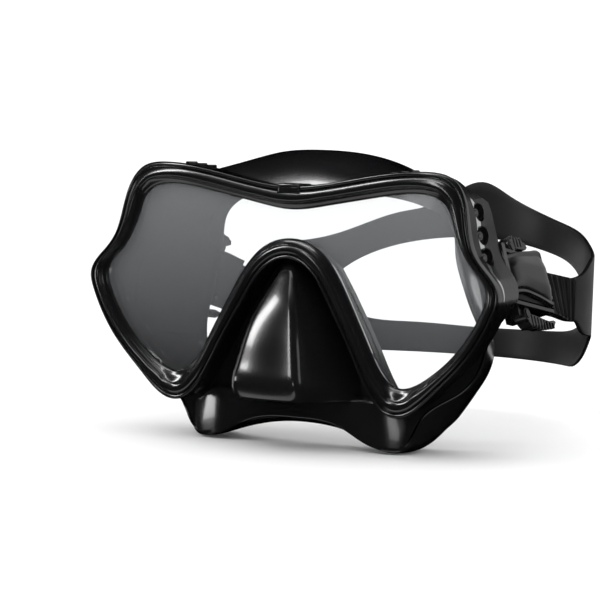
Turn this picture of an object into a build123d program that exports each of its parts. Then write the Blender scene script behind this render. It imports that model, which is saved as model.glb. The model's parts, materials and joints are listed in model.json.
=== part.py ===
from build123d import *
import os
from math import cos, sin, radians

# Diving mask: single-window frame, silicone skirt with nose pocket, split strap, two strap buckles.
# Millimetres. While it is being drawn, x = 0 is the symmetry plane, y = 0 is the front plane of the
# bezel with y growing towards the face, and z = 0 is the surface that the skirt's two lobes stand on.

# Lens and frame stack, front to back
BEZEL_BACK = 5.0          # rear edge of the bezel
LENS_THICK = 4.0
LENS_BACK = BEZEL_BACK + LENS_THICK
FLANGE_BACK = 11.5        # the skirt's gasket flange behind the lens
RING_BACK = 16.0          # rear face of the frame ring at the brow, nose and cheeks
FLANK_BACK = 25.0         # rear face of the frame at the temples
LENS_LAP = 1.3            # how far the lens runs behind the bezel's window edge
FIT = 0.3                 # clearance between neighbouring pieces

# Skirt
SKIRT_WALL = 2.2
SKIRT_FRONT = 16.6        # front face of the cheeks, just behind the frame ring
SKIRT_MID = 30.0
SKIRT_END = 53.0
FACE_RADIUS = 97.5        # the wearer's face, taken as an upright cylinder
FACE_DEPTH = 33.0         # the seal's place on the symmetry plane
POCKET_FLOOR = 18.5

# Strap
STRAP_THICK = 1.6
STRAP_WIDE = 18.0         # width of the adjusting tails
STRAP_REAR = 194.0        # middle of the strap's rear bend

# Buckles, in their own directions: u runs along the strap, n outwards, w across the strap
PIVOT = (72.1, 31.5, 69.5)
BUCKLE_ROLL = 20.0        # the buckle leans with the temple, its top inwards
BUCKLE_PITCH = 10.0       # the strap end sits lower than the pin
SWING_LEFT = 17.0         # how far each buckle is turned in towards the head
SWING_RIGHT = -2.0
ROLLER_U = 9.5
ROLLER_R = 1.9
PIN_R = 1.0
RUN_FIT = 0.05            # radial running clearance
HOUSING_HALF = 11.2
HOUSING_LONG = 44.0
EXIT_U = 46.0             # where the strap leaves the buckle
FREE_RIGHT = 19.0         # length of free strap end beyond the buckle
FREE_LEFT = 4.0
TURN_R = 50.0             # the laced strap ends are cut this far from the buckle's pin
LAYER = ROLLER_R + 0.25 + STRAP_THICK / 2       # strap layer, from the roller's middle

OUTLINE_STEPS = 48        # points along a half outline, joined by arcs

# Half outlines seen from the front, as (x, z) from the middle of the brow round to the middle of the nose
FRAME = [(0, 101), (30, 105.4), (54, 108.2), (63.5, 105.2), (68.4, 100), (72.2, 90), (75.1, 80),
         (79, 74), (84, 68.3), (86, 63.5), (84.6, 57), (75.3, 40), (61.6, 25), (53, 17.4), (47.3, 15.6),
         (42, 17), (36, 23), (27.3, 39.5), (17.5, 57), (10.2, 68.2), (0, 73.2)]
FRAME_REAR = [(0, 101), (30, 105.4), (54, 108.2), (64.5, 106), (70.4, 101), (75, 90), (78.2, 80),
              (81.4, 74), (84.8, 68.6), (86, 63.5), (84.6, 57), (75.3, 40), (61.6, 25), (53, 17.4),
              (47.3, 15.6), (42, 17), (36, 23), (27.3, 39.5), (17.5, 57), (10.2, 68.2), (0, 73.2)]
WINDOW = [(0, 91.9), (13, 93.6), (37, 98.2), (51, 99.9), (59.5, 98.4), (64, 94.5), (66.2, 88.5),
          (69.6, 80), (74, 73.2), (78.4, 68.2), (79.9, 63.5), (78.4, 57), (67.7, 40), (59, 32),
          (52.3, 27.8), (47, 26.7), (42.6, 28.6), (34, 41.3), (24.4, 60), (16.2, 72.9), (9, 78.8), (0, 80.9)]

# Half outlines of the skirt behind the frame, from the brow round to the upper lip
CHEEKS = [(0, 99), (30, 102), (50, 102.6), (60, 98), (64.5, 90), (66.5, 84), (68.5, 78), (74.5, 70),
          (77, 62), (77.6, 54), (77, 44), (74, 33), (67.5, 25), (59.5, 19.5), (53, 14), (49, 7.5),
          (44.5, 1), (40, -0.6), (33, 2.6), (24, 6.5), (0, 8.5)]
WALLS = [(0, 114.4), (22, 113.6), (40, 109), (51, 102), (57, 92), (59, 84), (60.5, 78), (64, 70),
         (67, 61), (70.5, 53), (74, 44), (72.5, 33), (66.5, 24), (60, 16.5), (55, 9.5), (50, 3), (43, -0.6),
         (35, 1.5), (22, 6), (0, 7.5)]
SEAL = [(0, 113), (20, 112), (37, 107), (49, 98), (54.5, 89), (56, 82), (56.5, 76), (58, 68),
        (60.5, 59), (63, 50), (64, 40), (62, 28), (57, 17), (50.5, 9), (46, 4), (40, 2), (34, 4.5),
        (22, 8.5), (0, 10)]
OPENING = [(0, 98), (26, 97.5), (42, 93), (50, 85), (51.5, 76), (54.5, 64), (57, 54), (56, 40),
           (50, 28), (40, 20.5), (25, 18), (0, 18)]

# Nose pocket, as level slices: height, front half-width, front y, rear half-width, corner radius
POCKET = [(18.5, 11.5, -12.0, 26.5, 3.6), (24.0, 13.7, -16.6, 27.0, 4.0), (42.0, 11.2, -13.4, 20.5, 3.4),
          (59.0, 6.0, -5.6, 12.0, 2.2), (70.5, 1.8, 3.0, 3.6, 0.8)]


def front_plane(y):
    """Plane at depth y whose own directions are +x and +z."""
    return Plane(origin=(0, y, 0), x_dir=(1, 0, 0), z_dir=(0, -1, 0))


def moved(half, amount):
    """Points along a half outline moved along its normal, inwards if the amount is negative."""
    curve = Spline(*half, tangents=[(1, 0), (-1, 0)])
    out = []
    for k in range(OUTLINE_STEPS + 1):
        point, along = curve @ (k / OUTLINE_STEPS), curve % (k / OUTLINE_STEPS)
        out.append((point.X - amount * along.Y, point.Y + amount * along.X))
    out[0] = (0, out[0][1])
    out[-1] = (0, out[-1][1])
    return out


def arcs(points):
    """Chain of arcs, each through three points in a row."""
    return [ThreePointArc(*points[k:k + 3]) for k in range(0, len(points) - 2, 2)]


def inset(half, y, amount):
    """Closed face at depth y: a symmetric outline moved inwards (negative) or outwards."""
    right = moved(half, amount)
    left = [(-x, z) for x, z in reversed(right)]
    return front_plane(y) * make_face(arcs(right) + arcs(left))


def outline(half, y):
    return inset(half, y, 0)


def slab(face, depth):
    """Solid from a face at depth y backwards to y + depth."""
    return extrude(face, amount=-depth)


def ring(half, y, depth, outer, inner):
    """Band between two insets of one outline."""
    return slab(inset(half, y, outer), depth) - slab(inset(half, y - 1, inner), depth + 2)


def box_between(low, high):
    size = [b - a for a, b in zip(low, high)]
    middle = [(a + b) / 2 for a, b in zip(low, high)]
    return Pos(*middle) * Box(*size)


def both_sides(solid):
    return solid + mirror(solid, about=Plane.YZ)


def on_side(solid, side):
    """A piece drawn for the right side (+1), mirrored for the left side (-1)."""
    return solid if side > 0 else mirror(solid, about=Plane.YZ)


# --- lens and frame -------------------------------------------------------------------------------

def lens():
    return slab(inset(WINDOW, BEZEL_BACK, LENS_LAP), LENS_THICK)


def front_bezel():
    """Stepped ring: low outer lip, raised bead and a slope down to the window."""
    lip = slab(outline(FRAME, 2.0), BEZEL_BACK - 2.0)
    step = slab(inset(FRAME, 1.1, -1.2), 1.0)
    bead = slab(inset(FRAME, 0.0, -2.0), 1.2)
    body = lip + step + bead
    body -= slab(inset(WINDOW, -1, 1.6), 3.2)
    body -= slab(outline(WINDOW, -1), BEZEL_BACK + 2)
    tongue = ring(FRAME, BEZEL_BACK - 0.5, 2.0, -1.15, -1.9)
    return body + tongue - clip_space()


def clip_space():
    """Pocket for the brow clip, over the middle of the bezel."""
    return box_between((-4.7, 0.6, 98.2), (4.7, RING_BACK - 3, 103))


def brow_clip():
    """Latch over the brow that ties the bezel to the frame."""
    pad = box_between((-4.5, 0.8, 98.5), (4.5, 3.4, 101.6))
    pad = chamfer(pad.edges().group_by(Axis.Y)[0], 0.4)
    strip = box_between((-4.0, 3.4, 99.0), (4.0, RING_BACK - 3.4, 100.4))
    hook = box_between((-4.0, RING_BACK - 5, 98.4), (4.0, RING_BACK - 3.4, 99.0))
    return pad + strip + hook


def frame_shell():
    """Outer body of the frame, flaring outwards at the temples."""
    return loft([inset(FRAME, BEZEL_BACK + FIT, -0.6), inset(FRAME_REAR, FLANK_BACK, -0.6)])


def temple_cut():
    """What the frame's depth leaves out behind the brow, nose and cheeks."""
    high = 120
    side = [(RING_BACK, -5), (RING_BACK, 53), (FLANK_BACK + 1, 62), (FLANK_BACK + 1, 97),
            (RING_BACK - 1, 103), (RING_BACK - 1, high), (60, high), (60, -5)]
    profile = make_face(Polyline(*side, close=True))
    cut = extrude(Plane.YZ * profile, amount=100, both=True)
    return cut + box_between((-58, RING_BACK - 1, -5), (58, 60, high))


def teeth():
    """Three small ribs on the top of the frame near each corner."""
    out = []
    for x, z in ((38.7, 106.1), (42.9, 106.6), (47.2, 107.1)):
        rib = Pos(x, 10.5, z + 0.6) * Box(1.6, 7, 2.0)
        out.append(fillet(rib.edges().filter_by(Axis.Y), 0.5))
    return out


def crescent():
    """Side view of the temple insert: a tapering crescent on the flank."""
    front = Spline((12.5, 99.5), (10.2, 90), (9.0, 80), (8.4, 70), (9.5, 60.5))
    rear = Spline((9.5, 60.5), (13.0, 69), (15.6, 78), (17.2, 89), (12.5, 99.5))
    face = make_face([front, rear])
    return extrude(Plane.YZ * face, amount=95)


def crescent_band():
    """The part of the flank's outer 0.8 mm that lies inside the crescent."""
    core = loft([inset(FRAME, BEZEL_BACK + FIT, -1.4), inset(FRAME_REAR, FLANK_BACK, -1.4)])
    band = (frame_shell() - core) & crescent()
    return sorted(band.solids(), key=lambda s: s.volume)[-1]


def temple_insert():
    """Bright crescent set 0.8 mm into the flank."""
    return crescent_band() - plug_holes(PLUG_R)


PLUGS = [(71.6, 15.4, 93.8), (74.2, 14.2, 85.3), (76.8, 12.6, 77.3)]
PLUG_R = 3.6
PLUG_BORE_R = 2.3
PLUG_LEAN = 18.0          # the flank's slope, top inwards


def plug_axis(place):
    return Pos(*place) * Rot(0, 90 - PLUG_LEAN, 0)


def plug_holes(radius):
    out = None
    for place in PLUGS:
        hole = plug_axis(place) * Cylinder(radius, 5.0)
        out = hole if out is None else out + hole
    return out


def temple_plugs():
    """Three collared plugs in a row, each with a blind recess."""
    out = None
    for place in PLUGS:
        body = Pos(0, 0, -0.1) * Cylinder(PLUG_R, 3.8)
        recess = Pos(0, 0, 1.2) * Cylinder(PLUG_BORE_R, 2.0)
        plug = plug_axis(place) * (body - recess)
        out = plug if out is None else out + plug
    return out


def rear_frame():
    body = frame_shell() - slab(inset(FRAME, 0, -2.6), FLANGE_BACK + 0.2)
    body -= slab(inset(FRAME, 0, -4.8), FLANK_BACK + 5)
    body -= temple_cut()
    body -= ring(FRAME, BEZEL_BACK, 2.2, -1.05, -2.0)
    body -= clip_space()
    for side in (1, -1):
        body += lug(side)
    body -= both_sides(plug_holes(PLUG_R)) + both_sides(crescent_band())
    for rib in teeth():
        body += both_sides(rib)
    return body


# --- buckle frames of reference -------------------------------------------------------------------

def buckle_place(swing):
    """Plane whose x is u (along the strap), y is -n (inwards) and z is w (across), right side."""
    roll, pitch = radians(BUCKLE_ROLL), radians(BUCKLE_PITCH)
    across = Vector(-sin(roll), 0, cos(roll))
    outward = Vector(cos(roll), 0, sin(roll))
    along = Vector(0, 1, 0) * cos(pitch) - across * sin(pitch)
    pin_axis = Vector(0, 1, 0) * sin(pitch) + across * cos(pitch)
    turn = radians(swing)
    u = along * cos(turn) - outward * sin(turn)
    return Plane(origin=PIVOT, x_dir=u, z_dir=pin_axis)


def set_in(solid, side, swing):
    """Put a piece drawn in (u, -n, w) into its buckle, mirrored for the left side."""
    return on_side(buckle_place(swing).location * solid, side)


def block(u0, u1, n0, n1, w0, w1):
    """Box in buckle directions: along, outwards, across."""
    return box_between((u0, -n1, w0), (u1, -n0, w1))


def rod(u, n, radius, w0, w1):
    """Cylinder along w."""
    return Pos(u, -n, (w0 + w1) / 2) * Cylinder(radius, w1 - w0)


def post(u, w, radius, n0, n1):
    """Cylinder along n."""
    return Pos(u, -(n0 + n1) / 2, w) * Rot(90, 0, 0) * Cylinder(radius, n1 - n0)


EAR_R = 3.4
EAR_IN = 6.3              # the ears' inner and outer faces, across
EAR_OUT = 9.3
HINGE_PIN_R = 1.25


def lug_relief():
    """Space for the lug's backing block, with clearance, taken out of the skirt."""
    return block(-8.2, -4.2, -EAR_R - FIT, EAR_R, -EAR_OUT - FIT, EAR_OUT + FIT)


def lug(side):
    """Two ears behind the temple that hold the buckle's pin."""
    body = None
    for low, high in ((EAR_IN, EAR_OUT), (-EAR_OUT, -EAR_IN)):
        ear = rod(0, 0, EAR_R, low, high) + block(-7.6, 0, -EAR_R, EAR_R, low, high)
        body = ear if body is None else body + ear
    body += block(-7.8, -4.6, -EAR_R, 9.5, -EAR_OUT, EAR_OUT)
    body -= rod(0, 0, HINGE_PIN_R, -20, 20)
    return set_in(body, side, 0)


# --- buckles --------------------------------------------------------------------------------------

RAIL_IN = 9.8
LEVER_PIN_U = 19.0
LEVER_PIN_W = 13.8
LEVER_TOP = 2.6           # outer face of the levers' finger pads
BASE_IN = -LAYER - STRAP_THICK / 2 - 0.35       # base plate's inner face, next to the strap
BASE_OUT = BASE_IN - 1.3
COVER_IN = LAYER + STRAP_THICK / 2 + 0.35
COVER_OUT = COVER_IN + 1.4
BARREL = EAR_IN - 0.25


def buckle_housing():
    """Hinge barrel, bridge, base plate, two rails and the outriggers that carry the levers."""
    body = rod(0, 0, EAR_R, -BARREL, BARREL) + block(0, 4.6, -2.6, 2.6, -BARREL, BARREL)
    body += block(4.2, 5.3, BASE_OUT, 3.2, -HOUSING_HALF, HOUSING_HALF)
    body += block(4.2, HOUSING_LONG, BASE_OUT, BASE_IN, -HOUSING_HALF, HOUSING_HALF)
    for s in (1, -1):
        low, high = sorted((s * RAIL_IN, s * HOUSING_HALF))
        body += block(4.2, HOUSING_LONG, BASE_OUT, COVER_IN, low, high)
        wing_low, wing_high = sorted((s * HOUSING_HALF, s * (LEVER_PIN_W + 2.4)))
        body += block(LEVER_PIN_U - 3, LEVER_PIN_U + 3, BASE_OUT, -3.0, wing_low, wing_high)
        slot_low, slot_high = sorted((s * (RAIL_IN - 1), s * (HOUSING_HALF + 1)))
        body -= block(ROLLER_U + 2.6, ROLLER_U + 6.4, -2.4, 2.4, slot_low, slot_high)
        body -= post(LEVER_PIN_U, s * LEVER_PIN_W, PIN_R, -20, 20)
    body -= rod(ROLLER_U, 0, PIN_R, -20, 20)
    body -= rod(0, 0, HINGE_PIN_R + RUN_FIT, -20, 20)
    return body


def buckle_cover():
    """Outer plate that widens towards the strap end, with a raised middle and a lip below."""
    face = Polyline((2.4, -7.0), (8, -8.2), (26, -10.6), (EXIT_U, -12.2), (EXIT_U + 1.5, -10.8),
                    (EXIT_U + 1.5, 10.0), (EXIT_U, 11.2), (26, 9.6), (8, 8.4), (2.4, 7.0), close=True)
    plate = extrude(Plane.XZ * make_face(face), amount=1.4)
    plate = Pos(0, -COVER_IN, 0) * plate
    crown = block(7, EXIT_U - 3, COVER_OUT, COVER_OUT + 0.7, -6.4, 6.0)
    crown = chamfer(crown.edges().group_by(Axis.Y)[0], 0.6)
    return plate + crown


def strap_roller():
    """Ribbed roller with a face ratchet at each end."""
    body = rod(ROLLER_U, 0, ROLLER_R, -9.3, 9.3)
    for k in range(6):
        turn = Pos(ROLLER_U, 0, 0) * Rot(0, 0, 60 * k)
        for end in (9.3, -9.3):
            body -= turn * (Pos(ROLLER_R - 0.3, 0, end) * Box(0.7, 0.6, 0.8))
    return body - rod(ROLLER_U, 0, PIN_R + RUN_FIT, -20, 20)


def release_lever(up):
    """Rocker: a ribbed finger pad at the rear and a pawl that reaches the roller's end in front."""
    s = 1 if up else -1

    def bar(u0, u1, w0, w1, n0=-2.0, n1=2.0):
        low, high = sorted((s * w0, s * w1))
        return block(u0, u1, n0, n1, low, high)

    boss = post(LEVER_PIN_U, s * LEVER_PIN_W, 2.1, -2.7, 2.0)
    arm = bar(ROLLER_U + 3.6, LEVER_PIN_U, LEVER_PIN_W - 1.5, LEVER_PIN_W + 0.9)
    pawl = bar(ROLLER_U + 3.6, ROLLER_U + 5.4, RAIL_IN + 0.2, LEVER_PIN_W)
    pad = Polyline((LEVER_PIN_U, LEVER_PIN_W - 0.6), (33, LEVER_PIN_W + 0.2), (35, LEVER_PIN_W + 1.4),
                   (34, LEVER_PIN_W + 3.0), (22, LEVER_PIN_W + 4.4), (LEVER_PIN_U - 1, LEVER_PIN_W + 1.8),
                   close=True)
    body = boss + arm + pawl + Pos(0, 2.6, 0) * extrude(Plane.XZ * make_face(pad), amount=5.2)
    if not up:
        body = boss + arm + pawl + mirror(
            Pos(0, 2.6, 0) * extrude(Plane.XZ * make_face(pad), amount=5.2), about=Plane.XY)
    for k in range(4):
        u = 22.8 + 2.8 * k
        high = LEVER_PIN_W + 4.4 - (u - 22) * 1.4 / 12
        body += bar(u - 0.5, u + 0.5, high - 1.0, high + 0.7, -2.4, 2.4)
    return body - post(LEVER_PIN_U, s * LEVER_PIN_W, PIN_R + RUN_FIT, -20, 20)


def roller_pin():
    return rod(ROLLER_U, 0, PIN_R, -HOUSING_HALF, HOUSING_HALF)


def hinge_pin():
    """Pin through the ears and the housing's barrel, with a flat head at each end."""
    body = rod(0, 0, HINGE_PIN_R, -EAR_OUT, EAR_OUT)
    return body + rod(0, 0, 2.1, EAR_OUT, EAR_OUT + 0.7) + rod(0, 0, 2.1, -EAR_OUT - 0.7, -EAR_OUT)


def lever_pins():
    """Two headed posts that the release levers rock on."""
    body = None
    for s in (1, -1):
        shank = post(LEVER_PIN_U, s * LEVER_PIN_W, PIN_R, BASE_OUT, LEVER_TOP + 0.1)
        head = post(LEVER_PIN_U, s * LEVER_PIN_W, 1.8, LEVER_TOP + 0.1, LEVER_TOP + 0.8)
        body = shank + head if body is None else body + shank + head
    return body


# --- skirt ----------------------------------------------------------------------------------------

def face_cylinder(grow=0.0, low=-20, high=140):
    """Upright cylinder that stands for the wearer's face, grown by an amount."""
    middle = FACE_DEPTH + FACE_RADIUS
    return Pos(0, middle, (low + high) / 2) * Cylinder(FACE_RADIUS + grow, high - low)


def pocket_solid(wall):
    """Nose pocket, outside (wall 0) or inside (wall taken off), as a loft of level slices."""
    faces = []
    for height, half, front, rear_half, radius in POCKET:
        rear = SKIRT_FRONT + (4.0 if wall else 1.0)
        level = max(height, POCKET_FLOOR + wall)
        if wall:
            level = min(level, POCKET[-1][0] - 3.2)
        line = Polyline((-(half - wall * 0.6), front + wall), (half - wall * 0.6, front + wall),
                        (rear_half - wall, rear), (-(rear_half - wall), rear), close=True)
        face = make_face(line)
        corners = face.vertices().group_by(Axis.Y)[0]
        face = fillet(corners, max(radius - wall * 0.3, 0.25) * 0.6)
        faces.append(Pos(0, 0, level) * face)
    return loft(faces)


def skirt():
    gasket = slab(inset(FRAME, LENS_BACK, -2.9), FLANGE_BACK - LENS_BACK)
    gasket -= slab(inset(WINDOW, 0, 0.4), 40)
    tube = ring(FRAME, FLANGE_BACK - 0.2, SKIRT_FRONT - FLANGE_BACK + 0.4, -5.1, -6.9)
    outer = loft([outline(CHEEKS, SKIRT_FRONT), outline(WALLS, SKIRT_MID), outline(SEAL, SKIRT_END)])
    inner = loft([inset(CHEEKS, SKIRT_FRONT + SKIRT_WALL, -SKIRT_WALL),
                  inset(WALLS, SKIRT_MID + 0.5, -SKIRT_WALL),
                  inset(SEAL, SKIRT_END + 1, -SKIRT_WALL)])
    body = outer - inner
    body -= slab(inset(FRAME, SKIRT_FRONT - 1, -6.9), SKIRT_WALL + 2)
    body -= face_cylinder()
    lip = slab(inset(SEAL, 20, -0.6), 45) & (face_cylinder(1.6) - face_cylinder())
    lip -= slab(outline(OPENING, 15), 60)
    body = body + lip + gasket + tube
    body += pocket_solid(0)
    body -= pocket_solid(1.8)
    body -= both_sides(set_in(lug_relief(), 1, 0))
    body -= box_between((-200, -50, -20), (200, 100, 0))
    return body


# --- strap ----------------------------------------------------------------------------------------

# The strap's middle line seen from above, between the two buckles
STRAP_PLAN_RIGHT = [(77.4, 108), (78.4, 130), (72.6, 153), (58, 174), (34, 189.5), (6, STRAP_REAR)]
STRAP_PLAN_LEFT = [(-22, 190), (-46, 178.5), (-62, 160), (-66, 140), (-60.5, 119), (-54, 100)]

# Front view of the strap: top edge, then the opening between its two branches
STRAP_TOP = [(-95, 72), (-62, 74), (-46, 81), (-32, 87), (-19, 90.5), (-7, 97), (6, 102.5), (19, 97),
             (34, 90.5), (48, 86.2), (62.5, 81.5), (73, 75), (95, 68)]
SPLIT_TOP = [(-59, 50), (-53, 60), (-41, 68.5), (-22, 74.5), (6, 77), (25, 75.5), (42, 72.4), (55.5, 68.4),
             (63.5, 62.5), (71, 50)]
SPLIT_LOW = [(71, 50), (66, 43.5), (60, 39.8), (49, 37.6), (22, 36.2), (3, 36), (-24, 36.8), (-47, 39.5),
             (-59, 50)]
# Side view of the fork where each tail widens into the two branches: lower and upper edge
FORK_LOW = [(114, 48), (120, 44.5), (127, 41.8), (140, 40), (152, 37.3), (163, 29.5), (172, 23.5), (184, 20)]
FORK_HIGH = [(114, 66), (123, 67.6), (132, 71.7), (140, 77), (148, 90), (160, 118)]
TAIL_END_Z = (48.0, 66.0)
STRAP_LOW = 23.0


def strap_plan(shift):
    """The middle line moved sideways by half the thickness."""
    points = STRAP_PLAN_RIGHT + STRAP_PLAN_LEFT
    middle = Spline(*points)
    out = []
    for k in range(25):
        at = k / 24
        p, t = middle @ at, middle % at
        out.append((p.X - t.Y * shift, p.Y + t.X * shift))
    return out


def strap_loop():
    """Rear part of the strap: a bent band with its outline cut from the front and from the side."""
    half = STRAP_THICK / 2
    a, b = strap_plan(half), strap_plan(-half)
    face = make_face([Spline(*a), Line(a[-1], b[-1]), Spline(*reversed(b)), Line(b[0], a[0])])
    band = extrude(face, amount=125)
    edge = Spline(*STRAP_TOP)
    left, right = edge @ 0, edge @ 1
    front = make_face([edge, Polyline(right, (95, STRAP_LOW), (-95, STRAP_LOW), left)])
    hole = make_face([Spline(*SPLIT_TOP), Spline(*SPLIT_LOW)])
    band = band & extrude(front_plane(80) * front, amount=-130)
    band -= extrude(front_plane(120) * hole, amount=-90)
    low, high = TAIL_END_Z
    edge_low = Spline((90, low), *FORK_LOW, tangents=[(1, 0), (1, 0)])
    edge_high = Spline((90, high), *FORK_HIGH, tangents=[(1, 0), (0.4, 1)])
    far = Polyline(FORK_LOW[-1], (210, 20), (210, 118), FORK_HIGH[-1])
    fork = extrude(Plane.YZ * make_face([edge_low, far, edge_high, Line((90, high), (90, low))]),
                   amount=100, both=True)
    return band & fork


def strap_in_buckle(free):
    """Tail layer, bend round the roller and free end, drawn in buckle directions."""
    half = STRAP_WIDE / 2
    r_out, r_in = LAYER + STRAP_THICK / 2, LAYER - STRAP_THICK / 2
    bend = rod(ROLLER_U, 0, r_out, -half, half) - rod(ROLLER_U, 0, r_in, -20, 20)
    bend -= block(ROLLER_U, ROLLER_U + 20, -10, 10, -20, 20)
    body = bend + block(ROLLER_U, EXIT_U, -r_out, -r_in, -half, half)
    body += block(ROLLER_U, EXIT_U + 0.5, r_in, r_out, -half, half)
    if free < 8:
        return body + block(EXIT_U, EXIT_U + free, r_in, r_out, -half, half)
    low, high = -r_in + 0.35, -r_in + 0.35 + STRAP_THICK
    end = Polyline((EXIT_U, r_in), (EXIT_U + 7, low), (EXIT_U + free, low), (EXIT_U + free, high),
                   (EXIT_U + 8, high), (EXIT_U, r_out), close=True)
    body += mirror(extrude(make_face(end), amount=half - 0.5, both=True), about=Plane.XZ)
    for k in range(4):
        u = EXIT_U + 9.5 + 2.4 * k
        body += block(u, u + 1.0, high - 0.2, high + 0.6, -half + 1, half - 1)
    return body


def strap_tail(side, swing, end_point, end_tangent):
    """Twisting strip from the buckle's exit to the upright end of the loop."""
    plane = buckle_place(swing)
    start = Plane(origin=plane.from_local_coords((EXIT_U - 1, LAYER, 0)), x_dir=plane.z_dir,
                  z_dir=plane.x_dir)
    x, y = end_point
    tx, ty = end_tangent
    middle = sum(TAIL_END_Z) / 2
    finish = Plane(origin=(abs(x), y, middle), x_dir=(0, 0, 1), z_dir=(side * tx, ty, 0))
    a = start * Rectangle(STRAP_WIDE - 0.2, STRAP_THICK - 0.1)
    b = finish * Rectangle(TAIL_END_Z[1] - TAIL_END_Z[0], STRAP_THICK)
    tail = loft([a, b])
    return on_side(tail, side)


def strap():
    """Loop, twisting tails and the ends laced through the buckles, in one piece."""
    plan = Spline(*(STRAP_PLAN_RIGHT + STRAP_PLAN_LEFT))
    t_right, t_left = plan % 0, plan % 1
    right = strap_tail(1, SWING_RIGHT, STRAP_PLAN_RIGHT[0], (t_right.X, t_right.Y))
    left = strap_tail(-1, SWING_LEFT, STRAP_PLAN_LEFT[-1], (-t_left.X, -t_left.Y))
    right += set_in(strap_in_buckle(FREE_RIGHT), 1, SWING_RIGHT)
    left += set_in(strap_in_buckle(FREE_LEFT), -1, SWING_LEFT)
    return strap_loop() + right + left


def strap_parts():
    """The strap cut by a drum round each buckle's pin: the rear loop, then the two laced ends.

    The laced ends turn with the buckles, and a round cut keeps clear of the loop at any angle.
    """
    whole = strap()
    drums = [set_in(rod(0, 0, TURN_R, -40, 40), side, 0) for side in (1, -1)]
    gaps = [set_in(rod(0, 0, TURN_R + FIT, -40, 40), side, 0) for side in (1, -1)]
    return [whole - gaps[0] - gaps[1]] + [whole & drum for drum in drums]


# --- assembly -------------------------------------------------------------------------------------

def build():
    """Every piece by node name, in the drawing frame."""
    nodes = {"lens": lens(), "front_bezel": front_bezel(), "rear_frame": rear_frame(),
             "brow_clip": brow_clip(), "skirt": skirt()}
    nodes["strap"], nodes["strap_end_right"], nodes["strap_end_left"] = strap_parts()
    insert = temple_insert()
    plugs = temple_plugs()
    for name, side, swing in (("right", 1, SWING_RIGHT), ("left", -1, SWING_LEFT)):
        nodes["temple_insert_" + name] = on_side(insert, side)
        nodes["temple_plugs_" + name] = on_side(plugs, side)
        nodes["buckle_housing_" + name] = set_in(buckle_housing(), side, swing)
        nodes["buckle_cover_" + name] = set_in(buckle_cover(), side, swing)
        nodes["strap_roller_" + name] = set_in(strap_roller(), side, swing)
        nodes["roller_pin_" + name] = set_in(roller_pin(), side, swing)
        nodes["hinge_pin_" + name] = set_in(hinge_pin(), side, swing)
        nodes["release_lever_upper_" + name] = set_in(release_lever(True), side, swing)
        nodes["release_lever_lower_" + name] = set_in(release_lever(False), side, swing)
        nodes["lever_pins_" + name] = set_in(lever_pins(), side, swing)
    return nodes


def main():
    """Export every piece with the origin under the middle of the bounding box."""
    nodes = build()
    boxes = [shape.bounding_box() for shape in nodes.values()]
    front, rear = min(box.min.Y for box in boxes), max(box.max.Y for box in boxes)
    shift = Pos(0, -(front + rear) / 2, -min(box.min.Z for box in boxes))
    os.makedirs("parts", exist_ok=True)
    for name, shape in nodes.items():
        export_step(shift * shape, f"parts/{name}.step")


if __name__ == "__main__":
    main()
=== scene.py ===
import json
from itertools import product
from math import cos, pi, radians, sin, tan

import bmesh
import bpy
import numpy as np
from mathutils import Matrix, Vector


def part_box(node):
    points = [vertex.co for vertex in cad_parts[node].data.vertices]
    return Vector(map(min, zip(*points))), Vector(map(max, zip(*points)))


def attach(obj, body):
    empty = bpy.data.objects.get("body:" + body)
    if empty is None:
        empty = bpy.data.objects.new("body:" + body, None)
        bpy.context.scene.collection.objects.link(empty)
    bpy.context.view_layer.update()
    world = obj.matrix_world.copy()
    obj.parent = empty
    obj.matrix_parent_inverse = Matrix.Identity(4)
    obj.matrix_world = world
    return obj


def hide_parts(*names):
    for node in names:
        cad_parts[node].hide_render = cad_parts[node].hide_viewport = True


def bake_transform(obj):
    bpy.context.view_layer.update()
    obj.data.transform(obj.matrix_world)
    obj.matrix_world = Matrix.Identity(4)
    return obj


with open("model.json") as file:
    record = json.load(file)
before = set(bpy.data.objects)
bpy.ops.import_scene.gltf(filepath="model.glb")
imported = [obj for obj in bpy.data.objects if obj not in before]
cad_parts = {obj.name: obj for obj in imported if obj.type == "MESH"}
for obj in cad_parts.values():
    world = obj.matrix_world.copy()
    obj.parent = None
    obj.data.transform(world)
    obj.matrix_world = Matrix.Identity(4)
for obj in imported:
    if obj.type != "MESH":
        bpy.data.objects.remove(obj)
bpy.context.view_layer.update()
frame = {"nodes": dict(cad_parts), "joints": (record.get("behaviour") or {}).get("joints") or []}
NODES = frame["nodes"]
JOINTS = {j["name"]: j for j in frame["joints"]}

# Sizes below are in millimetres, with x = 0 on the symmetry plane, y = 0 at the bezel's front and
# z = 0 on the floor. row() turns such a place into the frame's own metres.
FRONT_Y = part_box("front_bezel")[0].y * 1000

BEZEL_BACK = 5.0
SKIRT_FRONT = 16.6        # front face of the skirt's cheeks, behind the frame
SKIRT_MID = 30.0          # depth at which the skirt's section follows WALLS
SKIRT_TOP = 115.2
SKIRT_WALL = 2.2
FACE_RADIUS = 97.5        # the wearer's face as an upright cylinder
FACE_DEPTH = 33.0         # how far behind the bezel's front that cylinder begins
PER_SEGMENT = 8           # mesh stations between two outline points

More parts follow.
